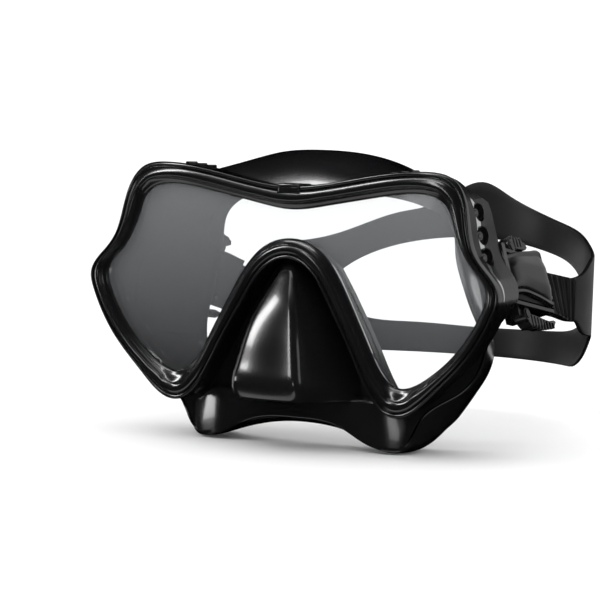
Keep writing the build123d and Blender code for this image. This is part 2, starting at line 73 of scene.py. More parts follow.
# Right halves of the outlines as (x, z), from the middle of the brow down to the middle of the chin:
# the frame's and the window's edges, then the skirt's cheeks, walls, seal lip and opening, front to rear
FRAME = [(0, 101), (30, 105.4), (54, 108.3), (64.6, 106.4), (69.6, 101), (72.6, 90), (75.1, 80),
         (79, 74), (84, 68.3), (86, 63.5), (84.6, 57), (75.3, 40), (61.6, 25), (53, 17.4), (47.3, 15.6),
         (42, 17), (36, 23), (27.3, 39.5), (17.5, 57), (10.2, 68.2), (0, 73.2)]
WINDOW = [(0, 91.9), (13, 93.6), (37, 98.2), (51, 99.9), (59.5, 98.4), (64, 94.5), (66.2, 88.5),
          (69.6, 80), (74, 73.2), (78.4, 68.2), (79.9, 63.5), (78.4, 57), (67.7, 40), (59, 32),
          (52.3, 27.8), (47, 26.7), (42.6, 28.6), (34, 41.3), (24.4, 60), (16.2, 72.9), (9, 78.8),
          (0, 80.9)]
CHEEKS = [(0, 99), (30, 102), (50, 102.6), (60, 98), (64.5, 90), (66.5, 84), (68.5, 78), (74.5, 70),
          (77, 62), (77.6, 54), (77, 44), (74, 33), (67.5, 25), (59.5, 20), (53, 15), (49, 8),
          (45, 2.2), (40, 0.6), (33, 2.6), (22, 7.4), (0, 10.4)]
WALLS = [(0, 114.0), (20, 112.6), (36, 108.4), (48, 102), (56, 92), (59, 84), (60.5, 78), (64, 70),
         (67, 61), (70.5, 53), (74, 44), (72.5, 33), (66.5, 24), (60, 16.5), (57, 12.5), (54, 8.5),
         (49.5, 3.2), (43, 0.0), (35, 1.5), (22, 6), (0, 8.5)]
SEAL = [(0, 115), (20, 113.6), (36, 108.2), (47, 100), (54, 90), (56, 82), (56.5, 76), (58, 68),
        (60.5, 59), (63, 50), (64, 40), (62.5, 30), (59.5, 22), (56, 15.5), (53, 11.5), (50, 8.2),
        (46.5, 4.6), (41, 2.2), (34, 4.5), (22, 8.5), (0, 10)]
OPENING = [(0, 98), (26, 97.5), (42, 93), (49.5, 86), (51, 76), (53.5, 65), (57, 54), (60.5, 43),
           (59, 32), (51, 23.5), (40, 20.5), (25, 18), (0, 18)]


# --- shapes in plain numbers ---

def row(points):
    """Drawing millimetres to the frame's metres."""
    p = np.array(points, float).reshape(-1, 3).copy()
    p[:, 1] += FRONT_Y
    return p / 1000


def spline(points, per, closed):
    """Cubic spline through points, sampled per times in each stretch."""
    p = np.array(points, float)
    n = len(p)
    stretches = n if closed else n - 1
    q = np.vstack([p, p[:1]]) if closed else p
    h = np.linalg.norm(np.diff(q, axis=0), axis=1) ** 0.85
    a = np.zeros((n, n))
    b = np.zeros_like(p)
    for i in range(n):
        if not closed and i in (0, n - 1):
            a[i, i] = 1
            continue
        left, right = h[(i - 1) % stretches], h[i % stretches]
        a[i, (i - 1) % n] += left
        a[i, i] += 2 * (left + right)
        a[i, (i + 1) % n] += right
        b[i] = 6 * ((p[(i + 1) % n] - p[i]) / right - (p[i] - p[(i - 1) % n]) / left)
    m = np.linalg.solve(a, b)
    out = []
    for i in range(stretches):
        j = (i + 1) % n
        for f in np.arange(per) / per:
            g = 1 - f
            out.append(g * p[i] + f * p[j]
                       + h[i] ** 2 / 6 * ((g ** 3 - g) * m[i] + (f ** 3 - f) * m[j]))
    if not closed:
        out.append(p[-1])
    return np.array(out)


def closed_outline(half, per=PER_SEGMENT):
    """Whole outline, clockwise from the top middle, from its right half."""
    whole = list(half) + [(-x, z) for x, z in reversed(half[1:-1])]
    return spline(whole, per, True)


def offset(curve, amount):
    """A closed outline moved outwards, or inwards if the amount is negative."""
    along = np.roll(curve, -1, 0) - np.roll(curve, 1, 0)
    along /= np.linalg.norm(along, axis=1)[:, None]
    normal = np.stack([-along[:, 1], along[:, 0]], 1)
    return curve + amount * normal


def matched(outer, inner, smooth=10):
    """A point of the inner outline for each point of the outer one, in order and evenly spread."""
    n = len(inner)
    near = np.array([np.argmin(np.hypot(*(inner - p).T)) for p in outer], float)
    expected = np.arange(len(outer)) / len(outer) * n
    near += n * np.round((expected - near) / n)
    near = np.maximum.accumulate(near)
    for _ in range(smooth):
        before = np.roll(near, 1)
        before[0] -= n
        after = np.roll(near, -1)
        after[-1] += n
        near = (before + 2 * near + after) / 4
    low = np.floor(near).astype(int)
    part = (near - low)[:, None]
    return inner[low % n] * (1 - part) + inner[(low + 1) % n] * part


def face_y(x, grow=0.0):
    """Depth of the wearer's face, taken as an upright cylinder."""
    r = FACE_RADIUS + grow
    return FACE_DEPTH + FACE_RADIUS - np.sqrt(np.maximum(r * r - x * x, 0))


def smoothstep(a, b, x):
    """Rises smoothly from 0 at a to 1 at b."""
    t = np.clip((x - a) / (b - a), 0, 1)
    return t * t * (3 - 2 * t)


# --- meshes ---

def new_object(name, data):
    """An object in the scene for a mesh, a light or a camera."""
    obj = bpy.data.objects.new(name, data)
    bpy.context.scene.collection.objects.link(obj)
    return obj


def make(name, vertices, faces, angle=35):
    """Mesh object from drawing millimetres, normals outwards, smooth except at sharp edges."""
    mesh = bpy.data.meshes.new(name)
    mesh.from_pydata([tuple(v) for v in row(vertices)], [], [tuple(f) for f in faces])
    bm = bmesh.new()
    bm.from_mesh(mesh)
    bmesh.ops.remove_doubles(bm, verts=bm.verts, dist=2e-6)
    bmesh.ops.recalc_face_normals(bm, faces=bm.faces)
    if all(edge.is_manifold for edge in bm.edges) and bm.calc_volume(signed=True) < 0:
        bmesh.ops.reverse_faces(bm, faces=bm.faces)
    bm.to_mesh(mesh)
    bm.free()
    obj = new_object(name, mesh)
    soften(obj, angle)
    return obj


def soften(obj, angle):
    """Shades obj smooth, except at edges sharper than the angle in degrees."""
    mesh = obj.data
    mesh.polygons.foreach_set("use_smooth", [True] * len(mesh.polygons))
    mesh.set_sharp_from_angle(angle=radians(angle))
    mesh.update()


def grid_faces(rows, columns, closed):
    """Four-sided faces between rows of vertices, each of which is a loop."""
    faces = []
    for i in range(rows if closed else rows - 1):
        for j in range(columns):
            a, b = (i + 1) % rows, (j + 1) % columns
            faces.append((i * columns + j, i * columns + b, a * columns + b, a * columns + j))
    return faces


def tube_mesh(name, loops, angle=35, closed=True):
    """Mesh through a list of equal loops of points: a ring, or a tube whose ends get caps."""
    loops = np.array(loops)
    rows, columns = loops.shape[:2]
    faces = grid_faces(rows, columns, closed)
    if not closed:
        faces.append(tuple(range(columns)))
        faces.append(tuple((rows - 1) * columns + k for k in range(columns)))
    return make(name, loops.reshape(-1, 3), faces, angle)


def applied(obj):
    """Bakes an object's modifiers into its mesh."""
    bpy.context.view_layer.update()
    evaluated = obj.evaluated_get(bpy.context.evaluated_depsgraph_get())
    mesh = bpy.data.meshes.new_from_object(evaluated)
    obj.modifiers.clear()
    old, obj.data = obj.data, mesh
    bpy.data.meshes.remove(old)
    return obj


def boolean(obj, other, operation):
    """Joins or cuts obj with a closed mesh, which is then removed."""
    m = obj.modifiers.new(operation, "BOOLEAN")
    m.operation = operation
    m.solver = "MANIFOLD"
    m.object = other
    applied(obj)
    bpy.data.objects.remove(other)


def rounded_box(name, low, high, radius):
    """Box between two opposite corners, with rounded edges."""
    corners = list(product(*zip(low, high)))
    faces = [(0, 1, 3, 2), (4, 6, 7, 5), (0, 4, 5, 1), (2, 3, 7, 6), (0, 2, 6, 4), (1, 5, 7, 3)]
    obj = make(name, corners, faces)
    bevel(obj, radius)
    return applied(obj)


def bevel(obj, radius, segments=3, angle=30):
    """Adds a rounding in millimetres to the edges sharper than the angle."""
    m = obj.modifiers.new("edges", "BEVEL")
    m.width = radius / 1000
    m.segments = segments
    m.limit_method = "ANGLE"
    m.angle_limit = radians(angle)


# --- materials ---

NOISE_LOW, NOISE_HIGH = 0.3, 0.7     # where nearly all of the noise's values lie
GRAIN_HIGH = 0.0001       # metres
GLOSS_BLACK = (0.0035, 0.0035, 0.004)
SOFT_BLACK = (0.006, 0.006, 0.0065)
CHROME_COLOR = (0.86, 0.87, 0.89)


def new_material(name, color, rough, metallic=0.0):
    """A material of one colour, and its shader."""
    material = bpy.data.materials.new(name)
    material.use_nodes = True
    shader = material.node_tree.nodes["Principled BSDF"]
    shader.inputs["Base Color"].default_value = (*color, 1)
    shader.inputs["Roughness"].default_value = rough
    shader.inputs["Metallic"].default_value = metallic
    return material, shader


def add_noise(material, scale, detail=3.0, stretch=(1, 1, 1)):
    """Noise fixed to the object; the scale is in features per metre."""
    tree = material.node_tree
    place = tree.nodes.new("ShaderNodeTexCoord")
    mapping = tree.nodes.new("ShaderNodeMapping")
    mapping.inputs["Scale"].default_value = stretch
    noise = tree.nodes.new("ShaderNodeTexNoise")
    noise.inputs["Scale"].default_value = scale
    noise.inputs["Detail"].default_value = detail
    tree.links.new(place.outputs["Object"], mapping.inputs["Vector"])
    tree.links.new(mapping.outputs["Vector"], noise.inputs["Vector"])
    return noise.outputs["Fac"]


def mapped(tree, value, from_low, from_high, to_low, to_high):
    """A value's range stretched to another range, and held at its ends."""
    node = tree.nodes.new("ShaderNodeMapRange")
    node.inputs["From Min"].default_value = from_low
    node.inputs["From Max"].default_value = from_high
    node.inputs["To Min"].default_value = to_low
    node.inputs["To Max"].default_value = to_high
    tree.links.new(value, node.inputs["Value"])
    return node.outputs["Result"]


def tinted(tree, share, first, second):
    """A colour between two others."""
    node = tree.nodes.new("ShaderNodeMix")
    node.data_type = "RGBA"
    node.inputs["A"].default_value = (*first, 1)
    node.inputs["B"].default_value = (*second, 1)
    tree.links.new(share, node.inputs["Factor"])
    return node.outputs["Result"]


def object_axes(tree):
    """The object's own coordinates, in metres, as X, Y and Z."""
    place = tree.nodes.new("ShaderNodeTexCoord")
    axes = tree.nodes.new("ShaderNodeSeparateXYZ")
    tree.links.new(place.outputs["Object"], axes.inputs["Vector"])
    return axes.outputs


def spread(material, noise, low, high):
    """Noise stretched over a range of roughness."""
    return mapped(material.node_tree, noise, NOISE_LOW, NOISE_HIGH, low, high)


def add_bump(material, shader, value, strength):
    """A fine relief that is high where the value is high."""
    tree = material.node_tree
    bump = tree.nodes.new("ShaderNodeBump")
    bump.inputs["Strength"].default_value = strength
    bump.inputs["Distance"].default_value = GRAIN_HIGH
    tree.links.new(value, bump.inputs["Height"])
    tree.links.new(bump.outputs["Normal"], shader.inputs["Normal"])


SLOW_CHANGES = 35         # patches per metre in a moulding's gloss and shade
COAT_ROUGH = 0.05


def moulded(name, color, rough, rough_change, grain, bump, coat=0.0, shine=0.5):
    """Moulded plastic or silicone: slow changes of gloss and shade, and a fine grain."""
    material, shader = new_material(name, color, rough)
    tree = material.node_tree
    slow = add_noise(material, SLOW_CHANGES)
    fine = add_noise(material, grain, 2)
    tree.links.new(spread(material, slow, rough - rough_change, rough + rough_change),
                   shader.inputs["Roughness"])
    tint = tinted(tree, slow, [c * 0.8 for c in color], [c * 1.25 for c in color])
    tree.links.new(tint, shader.inputs["Base Color"])
    add_bump(material, shader, fine, bump)
    shader.inputs["Specular IOR Level"].default_value = shine
    shader.inputs["Coat Weight"].default_value = coat
    shader.inputs["Coat Roughness"].default_value = COAT_ROUGH
    return material


def math_node(tree, operation, *values):
    """One sum on values of other nodes."""
    node = tree.nodes.new("ShaderNodeMath")
    node.operation = operation
    for value, socket in zip(values, node.inputs):
        tree.links.new(value, socket)
    return node.outputs["Value"]


# The chrome bar's middle line, in metres like the object's own coordinates: two bends and the top as
# heights, the depth behind the bezel's front at each of them, and half of its width below and above
BAR_LOW, BAR_KNEE, BAR_TOP = 0.072, 0.076, 0.094
BAR_LOW_DEPTH, BAR_KNEE_DEPTH, BAR_TOP_DEPTH = 0.0090, 0.0112, 0.0138
BAR_THIN, BAR_WIDE = 0.0008, 0.0015


def chrome_material():
    """Chrome bar between black borders: it runs under the plugs, then along the insert's front edge."""
    material, shader = new_material("insert_chrome", CHROME_COLOR, 0.12, 1.0)
    tree = material.node_tree
    front = FRONT_Y / 1000
    axes = object_axes(tree)
    height = axes["Z"]
    low = mapped(tree, height, BAR_LOW, BAR_KNEE, front + BAR_LOW_DEPTH, front + BAR_KNEE_DEPTH)
    high = mapped(tree, height, BAR_KNEE, BAR_TOP, 0.0, BAR_TOP_DEPTH - BAR_KNEE_DEPTH)
    middle = math_node(tree, "ADD", low, high)
    half = mapped(tree, height, BAR_LOW, BAR_KNEE, BAR_THIN, BAR_WIDE)
    away = math_node(tree, "ABSOLUTE", math_node(tree, "SUBTRACT", axes["Y"], middle))
    bright = math_node(tree, "LESS_THAN", away, half)
    rough = spread(material, add_noise(material, 120, 2), 0.07, 0.18)
    tree.links.new(tinted(tree, bright, GLOSS_BLACK, CHROME_COLOR), shader.inputs["Base Color"])
    tree.links.new(bright, shader.inputs["Metallic"])
    tree.links.new(rough, shader.inputs["Roughness"])
    add_bump(material, shader, add_noise(material, 900, 2), 0.04)
    return material


def steel_material():
    """Dark brushed steel of the pins."""
    material, shader = new_material("pin_steel", (0.06, 0.06, 0.062), 0.3, 1.0)
    brushed = add_noise(material, 700, 2, (1, 1, 0.05))
    material.node_tree.links.new(spread(material, brushed, 0.22, 0.4), shader.inputs["Roughness"])
    add_bump(material, shader, brushed, 0.1)
    return material


# Painted pale studio reflection on each face of the lens: its share at a low and a high place, in metres
GLARE_LOW, GLARE_HIGH = 0.02, 0.09
GLARE_FROM, GLARE_TO = 0.03, 0.1


def lens_material():
    """Tempered glass: see-through under a painted pale reflection that grows towards the top, with
    reflections that grow towards the rim.
    """
    material = bpy.data.materials.new("lens_glass")
    material.use_nodes = True
    tree = material.node_tree
    tree.nodes.remove(tree.nodes["Principled BSDF"])
    output = tree.nodes["Material Output"]
    clear = tree.nodes.new("ShaderNodeBsdfTransparent")
    clear.inputs["Color"].default_value = (0.975, 0.985, 0.985, 1)
    gloss = tree.nodes.new("ShaderNodeBsdfGlossy")
    gloss.inputs["Roughness"].default_value = 0.02
    # Pale diffuse layer: a painted reflection of the studio, its share rising towards the top
    painted_glare = tree.nodes.new("ShaderNodeBsdfDiffuse")
    painted_glare.inputs["Color"].default_value = (0.95, 0.97, 1.0, 1)
    share = mapped(tree, object_axes(tree)["Z"], GLARE_FROM, GLARE_TO, GLARE_LOW, GLARE_HIGH)
    soft = tree.nodes.new("ShaderNodeMixShader")
    tree.links.new(share, soft.inputs["Fac"])
    tree.links.new(clear.outputs["BSDF"], soft.inputs[1])
    tree.links.new(painted_glare.outputs["BSDF"], soft.inputs[2])
    amount = tree.nodes.new("ShaderNodeFresnel")
    amount.inputs["IOR"].default_value = 1.3
    mix = tree.nodes.new("ShaderNodeMixShader")
    tree.links.new(amount.outputs["Fac"], mix.inputs["Fac"])
    tree.links.new(soft.outputs["Shader"], mix.inputs[1])
    tree.links.new(gloss.outputs["BSDF"], mix.inputs[2])
    tree.links.new(mix.outputs["Shader"], output.inputs["Surface"])
    return material


# Colour, roughness and its change, grains per metre and their height, then coat and shine
BEZEL = moulded("bezel_gloss", GLOSS_BLACK, 0.2, 0.03, 1500, 0.015, 0.2)
SHELL = moulded("frame_black", GLOSS_BLACK, 0.24, 0.04, 1500, 0.02, 0.15)
SILICONE = moulded("skirt_silicone", (0.005, 0.005, 0.0055), 0.18, 0.03, 900, 0.008, 0.25)
STRAP = moulded("strap_silicone", SOFT_BLACK, 0.42, 0.05, 1200, 0.03, 0.0, 0.2)
BUCKLE = moulded("buckle_black", SOFT_BLACK, 0.3, 0.05, 1500, 0.04)
COVER = moulded("cover_black", (0.004, 0.004, 0.0045), 0.2, 0.04, 1500, 0.02, 0.0, 0.35)
LEVER = moulded("lever_black", SOFT_BLACK, 0.3, 0.05, 1500, 0.04)
ROLLER = moulded("roller_black", (0.01, 0.01, 0.01), 0.45, 0.05, 1500, 0.06)
PLUG = moulded("plug_black", GLOSS_BLACK, 0.18, 0.04, 1500, 0.015, 0.3)
CHROME = chrome_material()
STEEL = steel_material()
LENS = lens_material()


def finish_piece(obj, material, body=None, replaces=()):
    """Gives a piece its material, the body it rides and the CAD nodes it stands for."""
    obj.data.materials.clear()
    obj.data.materials.append(material)
    if body:
        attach(obj, body)
    if replaces:
        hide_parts(*replaces)


def paint_node(name, material, radius):
    """A CAD node keeps its shape and gets a better finish and slightly rounded edges."""
    obj = NODES[name]
    obj.data.materials.clear()
    obj.data.materials.append(material)
    for polygon in obj.data.polygons:
        polygon.material_index = 0
        polygon.use_smooth = True
    obj.data.set_sharp_from_angle(angle=radians(28))
    if radius:
        bevel(obj, radius, 2, 40)


# --- bezel ---

# Bezel section as (step, depth): the groove and the bead step in from the outer edge, and the slope
# down to the lens lies just outside the window's edge
OUTER_SECTION = [(0.0, 5.0), (0.0, 1.5), (0.12, 0.9), (0.4, 0.5), (0.8, 0.35), (1.2, 0.4), (1.5, 0.6),
                 (1.7, 1.05), (1.85, 1.35), (2.0, 1.4), (2.15, 1.25), (2.35, 0.85), (2.8, 0.45),
                 (3.4, 0.15), (4.1, 0.0), (4.9, 0.05), (5.6, 0.3), (6.1, 0.75), (6.45, 1.3)]
INNER_SECTION = [(-1.9, 2.3), (-1.2, 2.75), (-0.55, 3.2), (-0.15, 3.7), (0.0, 4.3), (0.0, 5.0)]
FULL_WIDTH = 9.2          # where the bezel is narrower than this, the section shrinks with it
CORNER = (66.0, 103.0)    # the upper corners, whose outer edge is rolled back
CORNER_REACH = 13.0
CORNER_ROLL = 0.6         # share of the bezel's height that is rolled away


def bezel():
    """Gloss ring in front of the lens, with a notch in the brow for the latch."""
    outer = closed_outline(FRAME)
    inner = matched(outer, closed_outline(WINDOW, 16), 40)
    width = np.hypot(*(inner - outer).T)
    shrink = np.minimum(width / FULL_WIDTH, 1.0)
    off_corner = np.hypot(abs(outer[:, 0]) - CORNER[0], outer[:, 1] - CORNER[1])
    corner = np.exp(-(off_corner / CORNER_REACH) ** 2)
    loops = []
    for k in range(len(outer)):
        loop = []
        for edge, section in ((0, OUTER_SECTION), (1, INNER_SECTION)):
            for step, depth in section:
                f = edge + step * shrink[k] / width[k]
                x, z = outer[k] * (1 - f) + inner[k] * f
                rolled = CORNER_ROLL * corner[k] * (1 - f) ** 1.5
                loop.append((x, BEZEL_BACK - (BEZEL_BACK - depth) * (1 - rolled), z))
        loops.append(spline(loop, 3, False))
    ring = tube_mesh("bezel_ring", loops, 42)
    boolean(ring, rounded_box("notch", (-4.9, -2, 98.0), (4.9, 6.5, 104), 0.3), "DIFFERENCE")
    soften(ring, 35)
    finish_piece(ring, BEZEL, "mask", ("front_bezel",))


def latch():
    """Latch pad over the brow, with a shallow lift groove, and the strip behind it over the frame."""
    pad = rounded_box("latch_pad", (-4.6, 0.35, 98.2), (4.6, 4.2, 101.7), 0.5)
    boolean(pad, rounded_box("groove", (-3.4, 0.0, 100.3), (3.4, 0.8, 100.9), 0.1), "DIFFERENCE")
    soften(pad, 35)
    finish_piece(pad, SHELL, "mask", ("brow_clip",))
    rear = rounded_box("latch_strip", (-4.0, 3.6, 99.2), (4.0, 12.6, 101.9), 0.5)
    finish_piece(rear, SHELL, "mask")


# --- skirt ---

FLANGE_INSET = 5.2        # how far inside the frame's outline the skirt's front flange begins
FLANGE_ROUND = 1.2        # rounding where the flange turns back into the cheeks
LIP_ROUND = 1.6           # rounding where the walls turn in to the seal lip
LIP_THICK = 0.7           # the seal lip at its edge; it grows by LIP_GROW towards the walls
LIP_GROW = 1.0


def skirt_rows():
    """Closed outlines of the skirt from the flange back over the outside, the lip and the inside."""
    cheeks, walls, seal = (closed_outline(c) for c in (CHEEKS, WALLS, SEAL))
    ring = matched(cheeks, offset(closed_outline(FRAME, 16), -FLANGE_INSET), 30)
    opening = matched(seal, closed_outline(OPENING, 24), 30)
    lip = offset(seal, -LIP_ROUND)
    depth = face_y(seal[:, 0])
    rows = []

    def add(curve, y):
        rows.append(np.stack([curve[:, 0], np.broadcast_to(y, len(curve)), curve[:, 1]], 1))

    for t in np.linspace(0, 1, 12)[:-1]:
        add(ring * (1 - t) + cheeks * t, SKIRT_FRONT - FLANGE_ROUND * (1 - smoothstep(0.0, 0.3, t)))
    for t in (0.0, 0.25, 0.5, 0.75):
        turn = t * pi / 2
        add(offset(cheeks, -FLANGE_ROUND * (1 - sin(turn))), SKIRT_FRONT + FLANGE_ROUND * (1 - cos(turn)))
    for t in np.linspace(0.04, 0.965, 22):
        curve, y = wall_place(t, cheeks, walls, seal, depth)
        add(curve, y)
    for t in np.linspace(0, 1, 6)[1:]:
        turn = t * pi / 2
        add(offset(seal, -LIP_ROUND * (1 - cos(turn))), depth - LIP_ROUND + LIP_ROUND * sin(turn))
    for t in np.linspace(0.06, 1, 9):
        curve = lip * (1 - t) + opening * t
        add(curve, face_y(curve[:, 0]))
    for t in np.linspace(1, 0.1, 8):
        curve = lip * (1 - t) + opening * t
        add(curve, face_y(curve[:, 0]) - LIP_THICK - LIP_GROW * (1 - t))
    for t in np.linspace(0.93, 0.0, 16):
        curve, y = wall_place(t, cheeks, walls, seal, depth - 2)
        add(offset(curve, -SKIRT_WALL), np.maximum(y, SKIRT_FRONT + SKIRT_WALL))
    for t in np.linspace(1, 0, 8):
        add(ring * (1 - t) + offset(cheeks, -SKIRT_WALL - 0.5) * t, SKIRT_FRONT + SKIRT_WALL)
    return np.array(rows)


def wall_place(t, cheeks, walls, seal, depth):
    """Outline and depth a share t of the way from the cheeks to the seal."""
    y = SKIRT_FRONT + t * (depth - SKIRT_FRONT)
    middle = np.clip((SKIRT_MID - SKIRT_FRONT) / (depth - SKIRT_FRONT), 0.2, 0.72)[:, None]
    a = (t - middle) * (t - 1) / middle
    b = t * (t - 1) / (middle * (middle - 1))
    c = t * (t - middle) / (1 - middle)
    curve = cheeks * a + walls * b + seal * c
    return np.stack([curve[:, 0], np.minimum(curve[:, 1], SKIRT_TOP)], 1), y


# Nose pocket as level slices: height, front half-width, front y, rear half-width, corner radius
POCKET = [(19.3, 11.2, -12.2, 26.3, 3.0), (20.2, 12.3, -14.2, 26.5, 3.4), (22.4, 13.3, -15.6, 26.8, 3.6),
          (25.2, 13.9, -16.6, 27.0, 3.6), (27.0, 13.9, -16.9, 26.6, 3.5), (33.0, 13.0, -15.8, 23.8, 3.4),
          (42.0, 11.3, -13.6, 20.5, 3.2), (51.0, 9.0, -10.6, 16.4, 2.8), (59.0, 6.2, -6.2, 12.0, 2.4),
          (65.0, 4.1, -2.0, 7.8, 1.8), (70.0, 2.1, 2.4, 3.9, 1.2), (71.2, 0.6, 6.0, 1.4, 0.3)]
POCKET_BACK = 17.4        # where the pocket's sides end, inside the skirt
POCKET_WALL = 1.9
POCKET_ROOF = 3.6         # extra wall over the hollow's pointed top


def pocket_slice(half, front, rear_half, radius, rear):
    """Right half of one slice: a bulging front, a rounded corner and a straight side."""
    bulge = 0.1 * half
    side = np.array([rear_half - half, rear - front])
    side = side / np.linalg.norm(side)
    corner = np.array([half, front])
    turn = np.arctan2(side[1], side[0])
    cut = min(radius * tan(turn / 2), half * 0.9)
    radius = cut / tan(turn / 2)
    centre = np.array([half - cut, front + radius])
    points = [((half - cut) * t, front) for t in np.linspace(0, 1, 9)[:-1]]
    for t in np.linspace(0, 1, 9)[:-1]:
        angle = -pi / 2 + t * turn
        points.append(tuple(centre + radius * np.array([cos(angle), sin(angle)])))
    start = corner + side * cut
    for t in np.linspace(0, 1, 10):
        points.append(tuple(start * (1 - t) + np.array([rear_half, rear]) * t))
    return [(x, y + bulge * (x / half) ** 2 if x < half else y + bulge) for x, y in points]


def pocket(name, wall=0.0):
    """Closed outer form of the nose pocket, or its hollow when a wall thickness is taken off."""
    bottom, top = POCKET[0][0], POCKET[-1][0]
    loops = []
    for height, half, front, rear_half, radius in spline(POCKET, 6, False):
        if wall:
            half, rear_half = max(half - wall, 0.3), max(rear_half - wall * 1.1, 0.5)
            front, radius = front + wall, max(radius - wall * 0.7, 0.3)
            height = bottom + wall + (height - bottom) * (top - bottom - POCKET_ROOF - wall) / (top - bottom)
        rear = POCKET_BACK + (6.0 if wall else 0.0)
        right = pocket_slice(half, min(front, rear - 1.5), rear_half, radius, rear)
        whole = [(-x, y) for x, y in reversed(right[1:])] + right
        loops.append([(x, y, height) for x, y in whole])
    return tube_mesh(name, loops, 40, closed=False)


# Apron below the nose: right half of its bottom edge as (x, z)
APRON_LOW = [(0, 10.6), (12, 10.2), (20, 8.2), (27, 4.6), (33, 2.0), (38.5, 0.7), (43, 0.6), (46.4, 2.6),
             (48.4, 7), (49.6, 12)]
APRON_TOP = 20.8
APRON_FRONT = 12.6        # depth of its front face below the nose's corners
APRON_HOLLOW = 1.2        # the face lies this much deeper in the middle
APRON_THICK = 4.5
APRON_HEM = 0.6           # height of the rounding along the bottom edge
RIDGE_R = 2.0             # rounding of the top ridge


def apron():
    """Curved wall under the nose: a rounded top ridge, and lobes that turn back at each side."""
    half = spline(APRON_LOW, 10, False)
    low = np.vstack([half[::-1] * [-1, 1], half[1:]])
    loops = []
    for x, z_low in low:
        across = abs(x)
        y = APRON_FRONT + APRON_HOLLOW * (1 - smoothstep(0, 26, across)) + max(across - 28, 0) ** 2 / 70
        top = APRON_TOP - 5.0 * smoothstep(36, 44, across)
        back = y + APRON_THICK
        section = [(back, z_low + 0.1), (y + 1.0, z_low), (y + 0.4, z_low + 0.15), (y, z_low + APRON_HEM)]
        face = top - RIDGE_R - z_low - APRON_HEM
        for t in np.linspace(0.1, 1, 9):
            section.append((y - 0.25 * sin(pi * t), z_low + APRON_HEM + face * t))
        for t in np.linspace(0.15, 1, 7):
            turn = t * pi / 2
            section.append((y + RIDGE_R * (1 - cos(turn)), top - RIDGE_R * (1 - sin(turn))))
        section.append((back, top + 0.3))
        loops.append([(x, a, b) for a, b in section])
    return tube_mesh("skirt_apron", loops, 40, closed=False)


def skirt():
    """Black silicone skirt with its nose pocket, and the apron below the nose."""
    body = tube_mesh("skirt_body", skirt_rows(), 40)
    boolean(body, pocket("pocket_outside"), "UNION")
    boolean(body, pocket("pocket_hollow", POCKET_WALL), "DIFFERENCE")
    soften(body, 32)
    finish_piece(body, SILICONE, "mask", ("skirt",))
    finish_piece(apron(), SILICONE, "mask")


# --- buckles ---

ROLLER_U = 9.5            # the strap roller, measured from the buckle's pin
LAYER = 2.95              # level of each layer of strap, inwards and outwards of the roller's middle
EXIT_U = 46.0             # where the strap leaves the buckle
STRAP_THICK = 1.6
STRAP_HALF = 9.0          # half the width of the strap's ends
COVER_IN = 4.1            # level of the cover's inner face


class Buckle:
    """Directions of one buckle: u along the strap, n outwards, w across, read from its joints."""

    def __init__(self, side):
        swing, spin = JOINTS["buckle_swing_" + side], JOINTS["roller_spin_" + side]
        press = JOINTS["lever_press_upper_" + side]
        sign = 1 if side == "right" else -1
        self.side = side
        self.pivot = np.array(swing["pos_m"]) * 1000 - [0, FRONT_Y, 0]
        self.w = np.array(spin["axis"])
        self.n = -sign * np.array(press["axis"])
        self.u = sign * np.cross(self.w, self.n)

    def at(self, u, n, w):
        """A place in the buckle's own directions as drawing millimetres."""
        return self.pivot + u * self.u + n * self.n + w * self.w


# Cover outline: upper and lower edge as (u, w), from the hinge to the strap end
COVER_TOP = [(1.6, 6.2), (3.0, 7.0), (7, 8.0), (13.4, 9.6), (20, 10.9), (27, 12.0), (34, 13.1),
             (38.6, 13.8), (39.8, 13.5), (40.4, 12.6)]
COVER_LOW = [(1.2, -8.2), (2.4, -8.6), (6.5, -8.0), (12, -7.0), (18, -6.5), (26, -7.1), (35, -8.3),
             (41.0, -9.3), (42.2, -9.0), (42.8, -8.2)]
COVER_EDGE = 1.15         # height of the cover's rim above its inner face
COVER_CROWN = 1.5         # how far the pillow rises above the rim
COVER_GROOVE = 0.35       # depth of the groove between them


def cover(buckle):
    """Cover: a soft pillow that widens towards the strap end, inside a low rim."""
    high, low = spline(COVER_TOP, 3, False), spline(COVER_LOW, 3, False)
    loops = []
    for k, (a, b) in enumerate(zip(high, low)):
        s_long = k / (len(high) - 1)
        ends = min(s_long, 1 - s_long)
        edge = COVER_EDGE + 0.3 * smoothstep(0, 0.05, ends)
        crown = COVER_CROWN * smoothstep(0.06, 0.3, ends)
        carved = COVER_GROOVE * smoothstep(0.03, 0.09, ends)
        section = [(COVER_IN, b + (b - a) * 0.01), (COVER_IN + edge * 0.6, b)]
        for t in np.linspace(0.03, 0.97, 27):
            sides = min(t, 1 - t)
            groove = carved * np.exp(-((sides - 0.105) / 0.025) ** 2)
            lift = crown * smoothstep(0.1, 0.36, sides) ** 0.8
            section.append((COVER_IN + edge + lift - groove, b + (a - b) * t))
        section += [(COVER_IN + edge * 0.6, a), (COVER_IN, a + (a - b) * 0.01)]
        loops.append([buckle.at(u, n, w) for n, (u, w) in section])
    obj = tube_mesh("buckle_cover_shell_" + buckle.side, loops, 38, closed=False)
    body = "buckle_" + buckle.side
    finish_piece(obj, COVER, body, ("buckle_cover_" + buckle.side,))


# Finger wings of the release levers as (u, w): four points along the inner edge, then the outer edge
WING_UPPER = [(12.5, 11.2), (18.0, 11.8), (30.5, 14.2), (34.6, 15.6),
              (34.0, 17.4), (29.5, 18.3), (20.0, 17.6), (14.0, 15.2)]
WING_LOWER = [(16.0, 11.6), (24.0, 12.8), (42.0, 14.0), (47.5, 13.2),
              (49.5, 13.6), (46.5, 16.2), (30.0, 18.8), (22.0, 18.0), (17.0, 15.0)]
WING_RIB_GAP = 2.9        # from one rib of a wing to the next
WING_RIB_WIDE = 1.1
KNUCKLE = (19.0, 13.83)   # centre of the round knuckle over the lever's pin
KNUCKLE_R = 2.9


